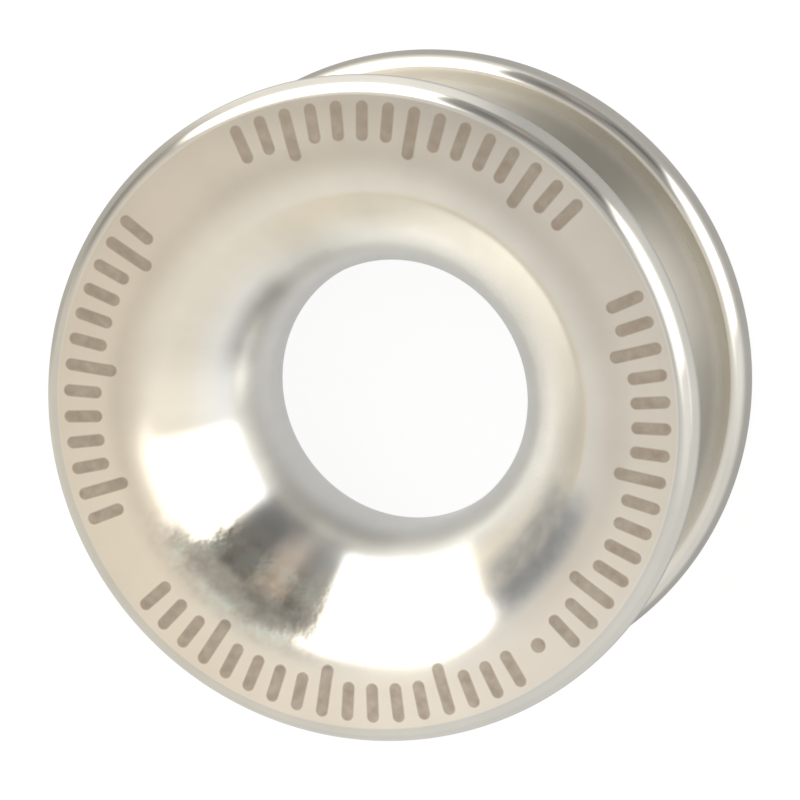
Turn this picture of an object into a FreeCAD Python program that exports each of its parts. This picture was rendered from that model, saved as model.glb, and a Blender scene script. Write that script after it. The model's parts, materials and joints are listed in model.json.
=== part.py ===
import FreeCAD, Part
import math
import os

# Low friction ring, in millimetres. It is one turned piece of stainless steel:
# an eye with bell-shaped mouths that a line runs through, and a groove round
# the outside for the lashing that holds the ring. It lies flat, with its axis
# along +Z and its origin at the centre of the throat, so that the two faces
# are the same distance above and below Z = 0.

# Driving dimensions. Each can be set by itself.
outside_diameter = 15.0         # over the two rims
throat_diameter = 6.1           # the narrowest place of the eye, for a 6 mm line
throat_land = 0.54              # the straight stretch in the middle of the eye
eye_rounding = 2.1              # the radius at the throat's two ends and at each mouth
lashing_diameter = 4.0          # the lashing that lies in the groove
seat_clearance = 0.34           # between the lashing and its seat, on each side
rim_width = 1.06                # each rim, along the axis
rim_rounding = 0.40             # how far the rounded edge of a rim stands out
face_width = 0.85               # the flat band between a rim's rounding and the mouth
least_flare = 0.05              # the share of a mouth that its roundings always leave straight

# Radii from the axis, and heights above the middle plane, that follow from them.
rim_radius = outside_diameter / 2
throat_radius = throat_diameter / 2
seat_radius = lashing_diameter / 2 + seat_clearance
half_width = seat_radius + rim_width
flat_radius = rim_radius - rim_rounding
mouth_radius = flat_radius - face_width
rim_height = half_width - rim_width / 2

# A mouth is as broad as the wall leans out and as deep as it rises from the land.
# Its two roundings and the flare between them share that breadth and depth.
mouth_breadth = mouth_radius - throat_radius
mouth_depth = half_width - throat_land / 2
rounding_radius = min(eye_rounding, (1 - least_flare) * min(mouth_breadth, mouth_depth))
flare_angle = math.atan2(mouth_breadth - rounding_radius, mouth_depth - rounding_radius)


def at(radius, height):
    """A point of the section, by its distance from the axis and its height."""
    return FreeCAD.Vector(radius, 0, height)


def on_rounding(centre, lean, side):
    """The point of a rounding of the eye where the wall leans out by an angle:
    upright at 0 and level at a right angle. The side is 1 above the middle
    plane and -1 below it."""
    radius = centre.x - rounding_radius * math.cos(lean)
    height = centre.z + rounding_radius * math.sin(lean)
    return at(radius, side * height)


def rounding(centre, first_lean, last_lean, side):
    """The stretch of a rounding between two leans of the wall."""
    middle_lean = (first_lean + last_lean) / 2
    leans = (first_lean, middle_lean, last_lean)
    return Part.Arc(*(on_rounding(centre, lean, side) for lean in leans)).toShape()


def mouth(side):
    """A mouth, from the land of the throat out to the flat of the face. The wall
    is upright at the land and level at the face, and straight between its two
    roundings, so that the line meets no edge on its way."""
    inner = at(throat_radius + rounding_radius, throat_land / 2)
    outer = at(mouth_radius, half_width - rounding_radius)
    flare = Part.LineSegment(on_rounding(inner, flare_angle, side), on_rounding(outer, flare_angle, side))
    return [
        rounding(inner, 0, flare_angle, side),
        flare.toShape(),
        rounding(outer, flare_angle, math.pi / 2, side),
    ]


def land():
    """The straight stretch between the two mouths."""
    return Part.LineSegment(at(throat_radius, -throat_land / 2), at(throat_radius, throat_land / 2)).toShape()


def level(height):
    """The flat band of a face, from the mouth out to the rim."""
    return Part.LineSegment(at(mouth_radius, height), at(flat_radius, height)).toShape()


def rim(side):
    """The rounded edge of the rim above (1) or below (-1) the groove: half an
    ellipse, level at both ends, so it runs smoothly into the face."""
    centre = at(flat_radius, side * rim_height)
    tip = at(rim_radius, side * rim_height)
    end = at(flat_radius, side * rim_height + rim_width / 2)
    if rim_rounding > rim_width / 2:
        ellipse = Part.Ellipse(tip, end, centre)
        first = -math.pi / 2
    else:
        ellipse = Part.Ellipse(end, tip, centre)
        first = 0.0
    return Part.ArcOfEllipse(ellipse, first, first + math.pi).toShape()


def seat():
    """The groove between the rims, half a circle that the lashing beds in."""
    return Part.Arc(
        at(flat_radius, seat_radius),
        at(flat_radius - seat_radius, 0),
        at(flat_radius, -seat_radius),
    ).toShape()


def turned_ring():
    """The section, turned once round the axis."""
    outline = [land(), *mouth(1), level(half_width), rim(1), seat(), rim(-1), level(-half_width), *mouth(-1)]
    section = Part.Face(Part.Wire(Part.__sortEdges__(outline)))
    return section.revolve(FreeCAD.Vector(0, 0, 0), FreeCAD.Vector(0, 0, 1), 360)


os.makedirs("parts", exist_ok=True)

ring = turned_ring()
ring.exportStep("parts/ring.step")

wall = flat_radius - seat_radius - throat_radius
print(f"ring {outside_diameter:.2f} across, {2 * half_width:.2f} wide, {ring.Volume:.1f} cubic mm")
print(f"wall between throat and seat {wall:.2f}, flare {math.degrees(flare_angle):.1f} degrees")
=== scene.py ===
# %% [markdown]
# # A low friction ring in polished stainless steel
#
# The object is a small ring, 15 mm across, turned from one bar of stainless
# steel. A line runs through its eye, and a lashing lies in the groove round
# its outside. The CAD frame already holds its form, so this lesson is about
# the rest: a mesh fine enough to mirror a room without a facet showing, the
# finishes that a turner leaves on one piece of steel, and the light that
# polished metal needs before it looks like metal at all.

# %% Load the frame
import json
import math

import bpy
from mathutils import Matrix, Vector


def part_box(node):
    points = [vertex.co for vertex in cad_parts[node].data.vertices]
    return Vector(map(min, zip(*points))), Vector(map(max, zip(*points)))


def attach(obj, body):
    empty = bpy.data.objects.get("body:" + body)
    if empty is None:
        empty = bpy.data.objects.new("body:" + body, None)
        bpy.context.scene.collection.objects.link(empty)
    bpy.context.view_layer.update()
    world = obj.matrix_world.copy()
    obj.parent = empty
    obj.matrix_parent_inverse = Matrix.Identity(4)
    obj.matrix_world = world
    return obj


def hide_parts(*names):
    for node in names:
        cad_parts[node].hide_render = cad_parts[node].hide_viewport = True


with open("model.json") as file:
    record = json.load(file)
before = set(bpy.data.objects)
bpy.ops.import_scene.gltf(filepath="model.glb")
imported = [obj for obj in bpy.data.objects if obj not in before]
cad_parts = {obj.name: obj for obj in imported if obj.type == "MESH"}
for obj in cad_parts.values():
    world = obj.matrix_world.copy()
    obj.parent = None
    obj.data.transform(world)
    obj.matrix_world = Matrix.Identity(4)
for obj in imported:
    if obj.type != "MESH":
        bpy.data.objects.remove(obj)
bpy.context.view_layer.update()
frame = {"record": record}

MM = 0.001
ring_low, ring_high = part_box("ring")
outside_radius = (ring_high[0] - ring_low[0]) / 2
half_width = (ring_high[2] - ring_low[2]) / 2
print(f"frame: {2 * outside_radius / MM:.2f} mm across, {2 * half_width / MM:.2f} mm wide")

# %% [markdown]
# ## The section
#
# Everything on the ring is turned, so one section holds its whole form: the
# eye, a flat band on each face, a rounded rim on each side and the seat of the
# lashing between them. The outside and the width come from the frame, and the
# throat and its land from the frame's record. The other sizes are the
# turner's own.
#
# The eye is a bell on each side. From the land its wall rounds outward, runs
# straight as a flare, and rounds again until it is level with the face. The
# two roundings and the flare share the breadth and the depth of the mouth,
# and that gives the angle of the flare.

# %% Sizes of the section
mounts = {mount["name"]: mount for mount in frame["record"]["mounts"]}
throat_radius = mounts["throat"]["dims"]["r_mm"] * MM
half_land = mounts["throat"]["dims"]["length_mm"] * MM / 2
eye_rounding = 2.1 * MM
rim_width = 1.06 * MM
rim_rounding = 0.40 * MM
face_width = 0.85 * MM

seat_radius = half_width - rim_width
flat_radius = outside_radius - rim_rounding
mouth_radius = flat_radius - face_width
rim_height = half_width - rim_width / 2
groove_bottom = flat_radius - seat_radius
flare_out = mouth_radius - throat_radius - eye_rounding
flare_up = half_width - half_land - eye_rounding
flare_angle = math.atan2(flare_out, flare_up)
print(f"throat {throat_radius / MM:.2f}, mouth {mouth_radius / MM:.2f}, seat {seat_radius / MM:.2f} mm")
print(f"flare {math.degrees(flare_angle):.1f} degrees off the axis")

# %% [markdown]
# ## A pen made of one vertex
#
# The ring is the same on both sides of its middle plane, so only the upper
# half of the section is drawn. It is drawn like a line with a pen. The pen is
# one vertex: extrude pulls it along a straight stretch, and spin swings it
# round a centre and leaves an arc behind. Both operators leave the new end
# selected, so the next stretch starts where the last one stopped.
#
# Before the first operator everything is deselected, because an operator acts
# on all that is selected, and the frame's own nodes start out selected.

# %% Pen strokes


def start_clean():
    """Leaves edit mode and deselects every object."""
    if bpy.context.mode != "OBJECT":
        bpy.ops.object.mode_set(mode="OBJECT")
    bpy.ops.object.select_all(action="DESELECT")


def pen_down(name, radius, height):
    """A new object with one selected vertex: a plane whose corners are merged."""
    start_clean()
    bpy.ops.mesh.primitive_plane_add(size=1 * MM, location=(radius, 0, height))
    piece = bpy.context.object
    piece.name = name
    bpy.ops.object.transform_apply(location=True, rotation=True, scale=True)
    bpy.ops.object.mode_set(mode="EDIT")
    bpy.ops.mesh.select_mode(type="VERT")
    bpy.ops.mesh.select_all(action="SELECT")
    bpy.ops.mesh.merge(type="CENTER")
    return piece


def straight(out, up, steps=1):
    """Pulls the pen outward and upward by a distance, in equal steps."""
    for _ in range(steps):
        move = {"value": (out / steps, 0, up / steps)}
        bpy.ops.mesh.extrude_region_move(TRANSFORM_OT_translate=move)


def swing(radius, height, angle, steps):
    """Swings the pen round a centre. A positive angle turns upward into outward."""
    bpy.ops.mesh.spin(steps=steps, angle=-angle, center=(radius, 0, height), axis=(0, 1, 0))


print("pen ready")

# %% [markdown]
# ## Draw the upper half of the section
#
# From the middle of the throat the pen goes up the land, out along the bell,
# over the flat band, round the rim and down to the bottom of the groove. The
# rim is half an ellipse: it is swung as half a circle, and then pressed
# towards the face until it stands out by its rounding.

# %% Land, bell and flat band
quarter = math.pi / 2
bell_steps, flare_steps, lip_steps, band_steps = 22, 8, 24, 5
ring = pen_down("turned_ring", throat_radius, 0)
straight(0, half_land)
swing(throat_radius + eye_rounding, half_land, flare_angle, bell_steps)
straight(flare_out, flare_up, flare_steps)
swing(mouth_radius, half_width - eye_rounding, quarter - flare_angle, lip_steps)
straight(face_width, 0, band_steps)
print("drawn: the eye and the flat band")

# %% Rim and groove
rim_steps, seat_steps = 26, 24
tiny = 0.001 * MM
swing(flat_radius, rim_height, math.pi, rim_steps)
swing(flat_radius, 0, -quarter, seat_steps)
bpy.ops.object.mode_set(mode="OBJECT")
for vertex in ring.data.vertices:
    vertex.select = vertex.co.x > flat_radius + tiny
bpy.ops.object.mode_set(mode="EDIT")
press = rim_rounding / (rim_width / 2)
bpy.ops.transform.resize(value=(press, 1, 1), center_override=(flat_radius, 0, rim_height))
bpy.ops.object.mode_set(mode="OBJECT")
print(f"half section: {len(ring.data.vertices)} points")

# %% [markdown]
# ## Mirror and turn it
#
# A Mirror modifier gives the lower half and joins it in the middle plane. The
# spin operator is then the lathe. It sweeps the section once round the axis,
# and 360 steps leave no corner that a highlight could show. Spin can turn the
# surface inside out, so the last row is merged with the first and the normals
# are worked out again before anything else is done.

# %% Mirror the section
mirror = ring.modifiers.new("lower_half", "MIRROR")
mirror.use_axis = (False, False, True)
mirror.use_mirror_merge = True
mirror.merge_threshold = tiny
bpy.ops.object.modifier_apply(modifier=mirror.name)
print(f"whole section: {len(ring.data.vertices)} points, {len(ring.data.edges)} edges")

# %% Spin the section
turn_steps = 360
bpy.ops.object.mode_set(mode="EDIT")
bpy.ops.mesh.select_all(action="SELECT")
bpy.ops.mesh.spin(steps=turn_steps, angle=2 * math.pi, center=(0, 0, 0), axis=(0, 0, 1))
bpy.ops.mesh.select_all(action="SELECT")
bpy.ops.mesh.remove_doubles(threshold=tiny)
bpy.ops.mesh.normals_make_consistent(inside=False)
bpy.ops.object.mode_set(mode="OBJECT")
bpy.ops.object.shade_smooth()
triangles = sum(len(face.vertices) - 2 for face in ring.data.polygons)
print(f"turned ring: {len(ring.data.vertices)} vertices, {triangles} triangles")

# %% Put the turned ring in the frame's place
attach(ring, "root")
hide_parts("ring")
print(f"{ring.name} stands for the frame's ring")

# %% [markdown]
# ## Shader maths as sums
#
# The finishes change over the surface: satin here, polished there. Their masks
# are sums on radius, height and angle. A small class wraps a socket and
# overloads the operators, so a sum written in Python adds its Math nodes.
# Every other node comes from one method, which takes the node's type, its
# settings and the values or links of its sockets.

# %% A socket that can be reckoned with


class Number:
    """A value that varies over the surface. Arithmetic on it adds Math nodes."""

    def __init__(self, nodes, socket):
        self.nodes = nodes
        self.socket = socket

    def __add__(self, other):
        return self.nodes.math("ADD", self, other)

    def __radd__(self, other):
        return self.nodes.math("ADD", other, self)

    def __sub__(self, other):
        return self.nodes.math("SUBTRACT", self, other)

    def __rsub__(self, other):
        return self.nodes.math("SUBTRACT", other, self)

    def __mul__(self, other):
        return self.nodes.math("MULTIPLY", self, other)

    def __rmul__(self, other):
        return self.nodes.math("MULTIPLY", other, self)

    def __truediv__(self, other):
        return self.nodes.math("DIVIDE", self, other)

    def __abs__(self):
        return self.nodes.math("ABSOLUTE", self)

    def ramp(self, low, high):
        """0 below low, 1 above high, smooth between. It falls if low is the larger."""
        ends = {"Value": self, "From Min": min(low, high), "From Max": max(low, high)}
        if low > high:
            ends.update({"To Min": 1.0, "To Max": 0.0})
        return self.nodes.add("ShaderNodeMapRange", {"interpolation_type": "SMOOTHSTEP"}, ends)["Result"]


print("numbers that vary over a surface: sums, products and ramps")

# %% A node and its outputs


class Made:
    """A node that was added. Its outputs are read by name, as numbers."""

    def __init__(self, nodes, node):
        self.nodes = nodes
        self.node = node

    def __getitem__(self, name):
        live = [s for s in self.node.outputs if s.enabled and s.name == name]
        return Number(self.nodes, live[0])


print("outputs are read by name")

# %% The nodes of one material or world


class Nodes:
    """The nodes of one material or world."""

    def __init__(self, owner):
        owner.use_nodes = True
        self.tree = owner.node_tree
        self.tree.nodes.clear()

    def add(self, kind, settings=None, sockets=None):
        """Adds a node: its settings first, then the values and links of its sockets."""
        node = self.tree.nodes.new(kind)
        for name, value in (settings or {}).items():
            setattr(node, name, value)
        live = [s for s in node.inputs if s.enabled]
        for name, value in (sockets or {}).items():
            socket = live[name] if isinstance(name, int) else next(s for s in live if s.name == name)
            if isinstance(value, Number):
                self.tree.links.new(value.socket, socket)
            else:
                socket.default_value = value
        return Made(self, node)

    def math(self, operation, *values):
        """A Math node on numbers and values."""
        return self.add("ShaderNodeMath", {"operation": operation}, dict(enumerate(values)))["Value"]

    def mix(self, factor, first, second):
        """A colour between two others."""
        sockets = {"Factor": factor, "A": first, "B": second}
        return self.add("ShaderNodeMix", {"data_type": "RGBA"}, sockets)["Result"]

    def noise(self, place, scale, detail=2.0, roughness=0.5):
        """Smooth noise about 0.5, at a number of waves for each metre."""
        sockets = {"Vector": place, "Scale": scale, "Detail": detail, "Roughness": roughness}
        return self.add("ShaderNodeTexNoise", {}, sockets)["Fac"]

    def heading(self, x, y):
        """The azimuth of a point or a direction, in degrees from +X."""
        return self.math("DEGREES", self.math("ARCTAN2", y, x))

    def turn_from(self, heading, azimuth):
        """How far a heading is round the axis from an azimuth, in degrees from -180 to 180."""
        return self.math("WRAP", heading - azimuth, 180.0, -180.0)


print("one method adds a node, and short ones add what is used often")

# %% [markdown]
# ## The steel
#
# One piece of steel carries several finishes, and light tells them apart. The
# flat bands are faced off to a satin. The eye is polished like a mirror, and
# a little less so by the throat, where the line runs. At the low side of the
# face the polish reaches further out. The rims are rounded over with a wheel,
# and the seat of the groove keeps the dull skin of the tool and is darker in
# colour. All are the same steel, so they are one material whose colour and
# roughness change over the section.

# %% Coordinates on the ring
steel = bpy.data.materials.new("stainless_steel")
steel_sheet = Nodes(steel)
place = steel_sheet.add("ShaderNodeTexCoord")["Object"]
xyz = steel_sheet.add("ShaderNodeSeparateXYZ", {}, {"Vector": place})
x, y, z = xyz["X"], xyz["Y"], xyz["Z"]
radius = steel_sheet.math("SQRT", x * x + y * y)
height = abs(z)
heading = steel_sheet.heading(x, y)
print("radius and height are read from Object coordinates")

# %% Where each finish is
satin_begins, satin_full = 4.9 * MM, 5.8 * MM
polish_reach = 0.6 * MM
low_azimuth = -92
low_side = abs(steel_sheet.turn_from(heading, low_azimuth)).ramp(60, 30)
before_rim = radius.ramp(flat_radius + 0.05 * MM, flat_radius - 0.02 * MM)
satin = (radius - low_side * polish_reach).ramp(satin_begins, satin_full) * before_rim
satin = satin * height.ramp(half_width - 0.6 * MM, half_width - 0.4 * MM)
behind_rims = radius.ramp(flat_radius + 0.02 * MM, flat_radius - 0.10 * MM)
in_groove = height.ramp(seat_radius + 0.02 * MM, seat_radius - 0.05 * MM) * behind_rims
in_groove = in_groove * radius.ramp(groove_bottom - 0.5 * MM, groove_bottom - 0.1 * MM)
past_face = radius.ramp(flat_radius, flat_radius + 0.06 * MM)
on_rim = past_face * height.ramp(seat_radius, seat_radius + 0.06 * MM)
in_throat = radius.ramp(throat_radius + 1.7 * MM, throat_radius + 0.5 * MM)
print("finishes: satin band, groove, rim and throat")

# %% [markdown]
# ## Marks of turning and use, and painted ray streaks
#
# A lathe leaves fine rings that run round the axis. Noise that reads only the
# radius and the height gives such rings, with no seam. Noise over the whole
# surface is the haze that hands and lines leave on the polish, and a finer one
# is the grain of a laser mark. Faint rays run out from the eye: they are
# painted reflection streaks, lighter and darker in the colour. Those read the
# direction from the axis, and change only slowly with the radius.

# %% Rings, painted ray streaks and haze
section_place = steel_sheet.add("ShaderNodeCombineXYZ", {}, {"X": radius, "Y": z})["Vector"]
fine_rings = steel_sheet.noise(section_place, scale=9000, detail=3, roughness=0.6)
wide_rings = steel_sheet.noise(section_place, scale=1500)
ray_change = 60
ray_parts = {"X": x / radius, "Y": y / radius, "Z": radius * ray_change}
ray_place = steel_sheet.add("ShaderNodeCombineXYZ", {}, ray_parts)["Vector"]
painted_ray_streaks = steel_sheet.noise(ray_place, scale=5, detail=4, roughness=0.6)
haze = steel_sheet.noise(place, scale=420, detail=3)
grain = steel_sheet.noise(place, scale=4200)
print("noise: fine and wide rings, rays, haze and grain")

# %% [markdown]
# ## The marks on the face
#
# One face of such a ring is marked with a laser. Here the marks are a plain
# scale: four groups of short strokes, every fifth a long one, and a dot
# between two of the groups. A laser leaves no groove that one could feel. It
# burns a brown skin on the steel, darker along the edge of a stroke. Each
# stroke is a mask in the material: the angle from the middle of its group
# says how far the nearest stroke is.

# %% The edge of a burnt stroke
stroke_width = 0.25 * MM
mark_edge = 0.035 * MM


def burn(off):
    """1 inside a stroke and 0 outside it, from the distance to its middle line."""
    return off.ramp(stroke_width / 2 + mark_edge, stroke_width / 2 - mark_edge)


print(f"a stroke is {stroke_width / MM:.2f} mm wide")

# %% Strokes of the scale
mark_low, mark_high = 5.92 * MM, 6.84 * MM
short_low = 6.22 * MM
stroke_step = 5.0
long_every = 5


def stroke_rows(azimuth, half_count):
    """A group of strokes, as many on each side of its middle as half_count says."""
    turn = steel_sheet.turn_from(heading, azimuth)
    inside = abs(turn).ramp((half_count + 0.5) * stroke_step, (half_count + 0.45) * stroke_step)

    def near(step, low):
        """The strokes that stand a step apart, with their round inner ends at a radius."""
        aside = (turn - steel_sheet.math("SNAP", turn + step / 2, step)) * math.radians(1) * radius
        short = steel_sheet.math("MAXIMUM", low - radius, radius - mark_high)
        beyond = steel_sheet.math("MAXIMUM", short, 0.0)
        return burn(steel_sheet.math("SQRT", aside * aside + beyond * beyond))

    short_ones = near(stroke_step, short_low)
    long_ones = near(stroke_step * long_every, mark_low)
    return inside * steel_sheet.math("MAXIMUM", short_ones, long_ones)


strokes = stroke_rows(azimuth=173, half_count=6) + stroke_rows(azimuth=80, half_count=7)
strokes = strokes + stroke_rows(azimuth=-10, half_count=7) + stroke_rows(azimuth=-98, half_count=8)
print(f"scale: four groups of strokes, {stroke_step:.0f} degrees from stroke to stroke")

# %% A dot between two groups
dot_extra = 0.03 * MM


def dot(azimuth, distance):
    """A round dot at an azimuth and a distance from the axis, a little wider than a stroke."""
    around = math.radians(azimuth)
    off_x = x - distance * math.cos(around)
    off_y = y - distance * math.sin(around)
    return burn(steel_sheet.math("SQRT", off_x * off_x + off_y * off_y) - dot_extra)


on_top = z.ramp(half_width - 0.5 * MM, half_width - 0.3 * MM)
marked = (strokes + dot(azimuth=-51, distance=6.4 * MM)) * on_top
print("scale: the strokes and a dot, on the upper face only")

# %% [markdown]
# ## Worn patches and painted shade
#
# The line and the weather have been at the eye. On the marked side one place
# is pitted and mottled, and another has gone dull and grey. By the throat,
# painted shade darkens three soft patches. Each is a mask again, with soft
# borders: so far round from an azimuth, and between two distances from the
# axis. Part of the groove lies at the same distances, so it is taken out of
# them.

# %% A soft patch


def wear_and_shade_patch(azimuth, half_spread, low, high, border=0.5 * MM):
    """A soft patch of the eye, round an azimuth and between two radii."""
    across = abs(steel_sheet.turn_from(heading, azimuth)).ramp(half_spread * 1.4, half_spread * 0.6)
    past_low = radius.ramp(low - border / 2, low + border / 2)
    before_high = radius.ramp(high + border / 2, high - border / 2)
    return across * past_low * before_high


print("patches are placed by azimuth and distance from the axis")

# %% Pits, a dull patch and painted shade by the throat
marked_eye = z.ramp(-0.4 * MM, 0.2 * MM) * (1 - in_groove)
pitted = wear_and_shade_patch(-127, half_spread=25, low=4.25 * MM, high=5.8 * MM) * marked_eye
dull = wear_and_shade_patch(-37, half_spread=17, low=4.3 * MM, high=5.4 * MM) * marked_eye
# painted shade by the throat: three soft patches whose colour is darkened below
long_throat_shade = wear_and_shade_patch(-116, half_spread=26, low=3.2 * MM, high=3.62 * MM, border=0.25 * MM)
small_throat_shade = wear_and_shade_patch(-130, half_spread=10, low=3.4 * MM, high=3.9 * MM)
dark_throat_shade = wear_and_shade_patch(150, half_spread=18, low=3.3 * MM, high=3.75 * MM)
painted_throat_shade = (long_throat_shade * 0.55 + small_throat_shade * 0.6 + dark_throat_shade) * marked_eye
pits = steel_sheet.noise(place, scale=2600)
blotches = (pitted + dull * 0.35) * (pits - 0.5)
print("worn patches: pits, a dull patch and smudges")

# %% [markdown]
# ## Colour and polish
#
# The finish is a colour for each place, times a shade. A straw tint lies to the
# left, and painted shade deepens towards the top of the face. Painted ray
# streaks and painted shade by the throat go into the shade as well. Roughness
# follows the masks too. The lathe's rings make a highlight long across them,
# which is what Anisotropic does, turned a quarter so that it spreads outward
# from the axis.

# %% Colours of the finishes
eye_colour = (0.93, 0.88, 0.78, 1)
satin_colour = (0.88, 0.80, 0.68, 1)
rim_colour = (0.80, 0.77, 0.70, 1)
throat_colour = (0.97, 0.955, 0.91, 1)
groove_colour = (0.58, 0.55, 0.48, 1)
mark_colour = (0.36, 0.28, 0.20, 1)
dull_colour = (0.88, 0.87, 0.84, 1)
colour = steel_sheet.mix(satin, eye_colour, satin_colour)
colour = steel_sheet.mix(in_throat, colour, throat_colour)
colour = steel_sheet.mix(on_rim, colour, rim_colour)
colour = steel_sheet.mix(in_groove, colour, groove_colour)
colour = steel_sheet.mix(dull, colour, dull_colour)
print("colours: eye, satin, throat, rim, groove, laser mark and dull patch")

# %% Shade and tint
# painted shade: the satin band is darker towards the top of the face, a little towards +X, and most near
# its top edge
towards_top = (x * 0.15 + y) / (44 * MM)
top_edge = y.ramp(5.4 * MM, 7.2 * MM)
painted_top_shade = satin * (0.13 + towards_top + top_edge * 0.13)
shade = 1.02 + satin * 0.08 - painted_top_shade
# painted ray streaks: lighter and darker rays out from the eye stand in for spread reflections
shade = shade + (painted_ray_streaks - 0.5) * 0.10 + (wide_rings - 0.5) * 0.06 + (haze - 0.5) * 0.16
# painted shade: the three patches by the throat are darkened
shade = shade + blotches * 0.9 - dull * 0.32 - painted_throat_shade * 0.40
straw = x.ramp(4 * MM, -6 * MM) * radius.ramp(3.6 * MM, 4.6 * MM)
shade_tone = steel_sheet.add("ShaderNodeCombineXYZ", {}, {
    "X": shade * (1 + straw * 0.01), "Y": shade * (1 - straw * 0.025), "Z": shade * (1 - straw * 0.09),
})["Vector"]
colour = steel_sheet.add("ShaderNodeMix", {"data_type": "RGBA", "blend_type": "MULTIPLY"}, {
    "Factor": 1.0, "A": colour, "B": shade_tone,
})["Result"]
# the shade holds painted shade towards the top of the face, painted ray streaks and painted shade by the
# throat, as well as rings, haze and wear
print("shade: handling, rays, rings, haze and wear")

# %% The colour of the laser marks
burnt_edge = marked * (1 - marked)
burnt = marked * (0.70 + (grain - 0.5) * 0.5) + burnt_edge * 0.9
colour = steel_sheet.mix(burnt, colour, mark_colour)
print("marks: brown, and darker along their edges")

# %% One shader for all of it
near_throat = radius.ramp(throat_radius + 1.0 * MM, throat_radius + 0.4 * MM)
mirror_rough = 0.15
rough = mirror_rough + near_throat * 0.10 + satin * 0.07 + in_groove * 0.27 + marked * 0.02
rough = rough + (haze - 0.5) * 0.06 + (fine_rings - 0.5) * satin * 0.05 + dull * 0.10
ring_depth = 0.25 + satin * 1.6 + in_groove * 0.8
bump_height = (fine_rings - 0.5) * ring_depth + (wide_rings - 0.5) * 0.5 + blotches * 16
bump_parts = {"Strength": 0.10, "Distance": 0.004 * MM, "Height": bump_height}
bump = steel_sheet.add("ShaderNodeBump", {}, bump_parts)
body = steel_sheet.add("ShaderNodeBsdfPrincipled", {}, {
    "Base Color": colour, "Metallic": 1.0, "Roughness": rough, "Normal": bump["Normal"],
    "Anisotropic": 0.85, "Anisotropic Rotation": 0.25,
})
steel_sheet.add("ShaderNodeOutputMaterial", {}, {"Surface": body["BSDF"]})
ring.data.materials.clear()
ring.data.materials.append(steel)
print("steel:", len(steel_sheet.tree.nodes), "nodes")

# %% [markdown]
# ## The floor
#
# The ring lies flat on a white table. For the camera a light of its own lifts
# the table to white, while the part that is lit by the room still takes the
# ring's shadow. The metal mirrors a dimmer table, because the ring and what
# hangs in the room take its light: dimmest close to the ring, and brighter or
# darker in patches round it. Some light falls through the eye on the table
# under it, and more of it towards -Y. From below the table is clear, so that
# the lower face can be looked at too, and it lies a hair under the ring,
# because two surfaces in one plane render as noise.

# %% The table
start_clean()
floor_size = 2.0
hair = 0.005 * MM
bpy.ops.mesh.primitive_plane_add(size=floor_size, location=(0, 0, ring_low[2] - hair))
floor = bpy.context.object
floor.name = "floor"
bpy.ops.object.transform_apply(location=True, rotation=True, scale=True)
print(f"table: {floor_size:.1f} m wide")

# %% What the metal sees of the table
paper = bpy.data.materials.new("white_table")
paper_sheet = Nodes(paper)
spot_on_table = paper_sheet.add("ShaderNodeTexCoord")["Object"]
table_xyz = paper_sheet.add("ShaderNodeSeparateXYZ", {}, {"Vector": spot_on_table})
table_x, table_y = table_xyz["X"], table_xyz["Y"]
distance = paper_sheet.math("SQRT", table_x * table_x + table_y * table_y)
table_heading = paper_sheet.heading(table_x, table_y)


def table_patch(glow, level, azimuth, half_spread):
    """The glow of the table with another level in one direction from the ring, in degrees."""
    border = 14
    aside = abs(paper_sheet.turn_from(table_heading, azimuth))
    across = aside.ramp(half_spread + border / 2, half_spread - border / 2)
    return glow + (level - glow) * across


table_level, shaded_level = 0.64, 0.38
far_level = table_level + 0.50 * distance.ramp(25 * MM, 70 * MM)
glow = table_patch(table_level, far_level, azimuth=15, half_spread=24)
glow = table_patch(glow, 0.42, azimuth=57, half_spread=16)
glow = table_patch(glow, 0.90, azimuth=105, half_spread=26)
glow = table_patch(glow, 0.42, azimuth=160, half_spread=22)
glow = shaded_level + (glow - shaded_level) * distance.ramp(8.6 * MM, 12.5 * MM)
under_eye = distance.ramp(6 * MM, 4 * MM)
glow = glow + (0.11 - table_y / (27 * MM)) * under_eye
print("glow of the table: four directions, dim by the ring")

# %% A white table that keeps the shadow
table_rays = paper_sheet.add("ShaderNodeLightPath")
seen = table_rays["Is Camera Ray"] + table_rays["Is Transmission Ray"] + table_rays["Is Glossy Ray"] * glow
matt = paper_sheet.add("ShaderNodeBsdfDiffuse", {}, {"Color": (0.15, 0.15, 0.15, 1)})
lift = paper_sheet.add("ShaderNodeEmission", {}, {"Color": (1, 1, 1, 1), "Strength": seen * 0.90})
both = paper_sheet.add("ShaderNodeAddShader", {}, {0: matt["BSDF"], 1: lift["Emission"]})
from_below = paper_sheet.add("ShaderNodeNewGeometry")["Backfacing"]
clear = paper_sheet.add("ShaderNodeBsdfTransparent")
table = paper_sheet.add("ShaderNodeMixShader", {}, {0: from_below, 1: both["Shader"], 2: clear["BSDF"]})
paper_sheet.add("ShaderNodeOutputMaterial", {}, {"Surface": table["Shader"]})
floor.data.materials.append(paper)
print("table:", len(paper_sheet.tree.nodes), "nodes")

# %% [markdown]
# ## The room
#
# Polished metal shows the room, not itself, so the room is most of the work.
# The world is a white tent, and the camera sees it plain white. The metal sees
# what a photographer hangs in it: two tall windows of light, which give the
# two highlights in the eye, and dark flags between and beside them, which
# give a curved mirror the edges that let one read it. Softer patches grade
# the rest. Each has a level of light and a soft border. It is placed by
# azimuth and elevation, and a lean moves it round the axis as it rises. A
# warm glint stands in the middle of the flag between the windows.

# %% The white tent
world = bpy.data.worlds.new("white_tent")
bpy.context.scene.world = world
world_sheet = Nodes(world)
way_out = world_sheet.add("ShaderNodeTexCoord")["Generated"]
way = world_sheet.add("ShaderNodeSeparateXYZ", {}, {"Vector": way_out})
way_heading = world_sheet.heading(way["X"], way["Y"])
way_elevation = world_sheet.math("DEGREES", world_sheet.math("ARCSINE", way["Z"]))
tent_level = 0.70


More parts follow.
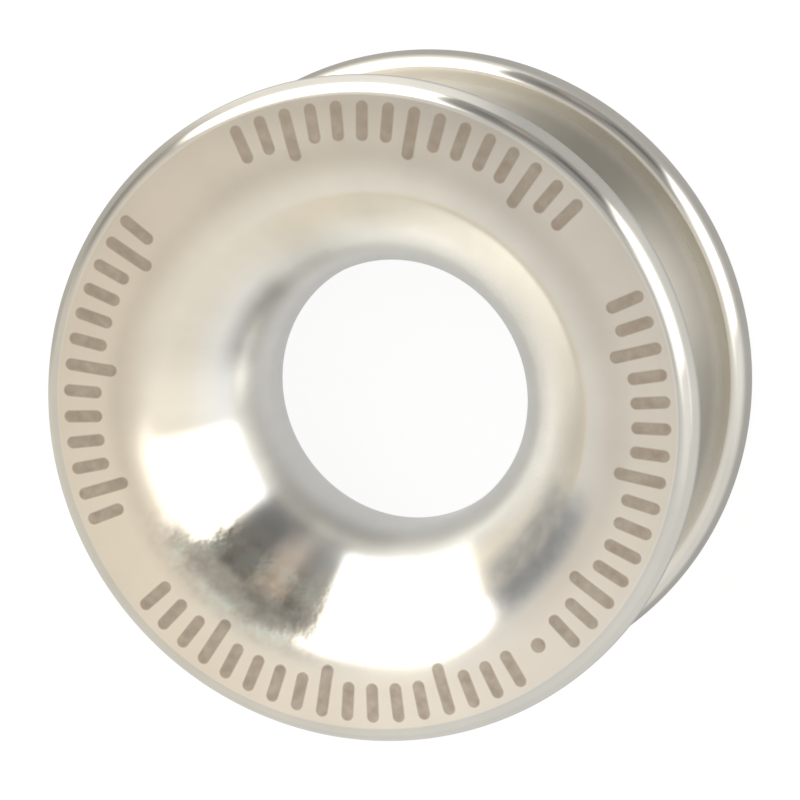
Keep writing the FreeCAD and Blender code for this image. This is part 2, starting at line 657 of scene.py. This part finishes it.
def hang(tent, level, azimuth, rise, half_spread, half_rise, border, lean=0.0):
    """The tent with a patch in it. All sizes are degrees, and the border is across and up."""
    over = way_elevation - rise
    aside = abs(world_sheet.turn_from(way_heading, azimuth) - over * lean)
    across = aside.ramp(half_spread + border[0] / 2, half_spread - border[0] / 2)
    upright = abs(over).ramp(half_rise + border[1] / 2, half_rise - border[1] / 2)
    return tent + (level - tent) * (across * upright)


print(f"tent: a level of {tent_level:.2f} all round")

# %% Soft patches
# the dim top of the tent, right above the ring
tent = hang(tent_level, 0.58, azimuth=0, rise=90, half_spread=181, half_rise=17, border=(1, 14))
# paler cloth: one high up, one beyond -Y, and one next to the first window
tent = hang(tent, 0.79, azimuth=213, rise=76, half_spread=60, half_rise=12, border=(40, 12))
tent = hang(tent, 0.76, azimuth=-80, rise=20, half_spread=50, half_rise=36, border=(30, 30))
tent = hang(tent, 0.90, azimuth=-10, rise=26, half_spread=14, half_rise=26, border=(24, 26))
print("soft patches: four")

# %% Flags
# the flag between the windows, with three darker places and a pale slit in it
tent = hang(tent, 0.34, azimuth=62, rise=30, half_spread=30, half_rise=38, border=(8, 14))
tent = hang(tent, 0.13, azimuth=55, rise=25, half_spread=11, half_rise=9, border=(14, 12))
tent = hang(tent, 0.13, azimuth=79, rise=27, half_spread=4, half_rise=5, border=(6, 8))
tent = hang(tent, 0.20, azimuth=77, rise=42, half_spread=12, half_rise=6, border=(10, 8))
tent = hang(tent, 0.54, azimuth=68, rise=21.5, half_spread=6, half_rise=2, border=(7, 5))
# the flag beyond the second window
tent = hang(tent, 0.34, azimuth=157, rise=8, half_spread=14, half_rise=30, border=(20, 36), lean=0.1)
print("flags: two, one of them uneven")

# %% Windows
# the glow above the first window, and the window
tent = hang(tent, 1.50, azimuth=14, rise=52, half_spread=19, half_rise=10, border=(18, 14))
tent = hang(tent, 2.0, azimuth=23, rise=20, half_spread=19.5, half_rise=26, border=(6, 12), lean=-0.12)
# the second window, which is the larger one
tent = hang(tent, 2.2, azimuth=120, rise=34, half_spread=27, half_rise=31, border=(5, 7), lean=0.2)
print("windows: two")

# %% The light of the tent
world_rays = world_sheet.add("ShaderNodeLightPath")
plain = world_rays["Is Camera Ray"] + world_rays["Is Transmission Ray"]
warm = hang(0.0, 1.0, azimuth=70, rise=20, half_spread=6, half_rise=5, border=(9, 9))
tint = world_sheet.mix(warm, (1, 1, 1, 1), (1.30, 1.10, 0.96, 1))
sky = world_sheet.add("ShaderNodeBackground", {}, {"Color": tint, "Strength": tent + (1 - tent) * plain})
world_sheet.add("ShaderNodeOutputWorld", {}, {"Surface": sky["Background"]})
print("world:", len(world_sheet.tree.nodes), "nodes")

# %% [markdown]
# ## A lamp for the table
#
# The tent alone would leave the ring hardly any shadow. One soft box above it
# lights the table, and what is matt, and the metal doesn't mirror it.

# %% Place by direction


def direction(azimuth, elevation):
    """The unit vector at an azimuth from +X and an elevation above the table, in degrees."""
    around, above = math.radians(azimuth), math.radians(elevation)
    level = math.cos(above)
    return Vector((level * math.cos(around), level * math.sin(around), math.sin(above)))


print("+X is azimuth 0:", tuple(direction(0, 0)))

# %% One soft box
lamp = bpy.data.lights.new("soft_box", "AREA")
lamp.size = 0.20
lamp_strength = 0.5
lamp.energy = lamp_strength * math.pi * lamp.size * lamp.size
soft_box = bpy.data.objects.new("soft_box", lamp)
lamp_distance = 0.30
soft_box.location = direction(azimuth=110, elevation=58) * lamp_distance
soft_box.rotation_euler = soft_box.location.to_track_quat("Z", "Y").to_euler()
soft_box.visible_camera = False
soft_box.visible_glossy = False
bpy.context.scene.collection.objects.link(soft_box)
print(f"soft box: {lamp.size:.2f} m wide, {lamp_distance:.2f} m away, {lamp.energy:.3f} W")

# %% [markdown]
# ## The camera
#
# The photograph looks down on the face from about 18 degrees off the axis,
# from a little over 100 mm away. Its long lens keeps the near face and the
# far rim close to the same size. The aim is a hair off the middle of the ring,
# which frames the ring as the photograph does.

# %% Place the camera
camera_azimuth, camera_elevation = 32.8, 71.8
camera_distance = 106.0 * MM
aim_right, aim_up = -0.074 * MM, -0.233 * MM
spot = direction(camera_azimuth, camera_elevation) * camera_distance
side = Vector((0, 1, 0)).cross(spot).normalized()
aim = side * aim_right + spot.cross(side).normalized() * aim_up
back = (spot - aim).normalized()
side = Vector((0, 1, 0)).cross(back).normalized()
turn = Matrix((side, back.cross(side), back)).transposed().to_4x4()

camera_data = bpy.data.cameras.new("camera")
camera_data.sensor_width = 36.0
camera_data.lens = 209.3
camera_data.clip_start = 10 * MM
camera_data.clip_end = 10.0
camera = bpy.data.objects.new("camera", camera_data)
camera.matrix_world = Matrix.Translation(spot) @ turn
bpy.context.scene.collection.objects.link(camera)
bpy.context.scene.camera = camera
bpy.context.scene.view_settings.view_transform = "Standard"
print(f"camera: {spot.length / MM:.0f} mm away, {90 - camera_elevation:.1f} degrees off the axis")
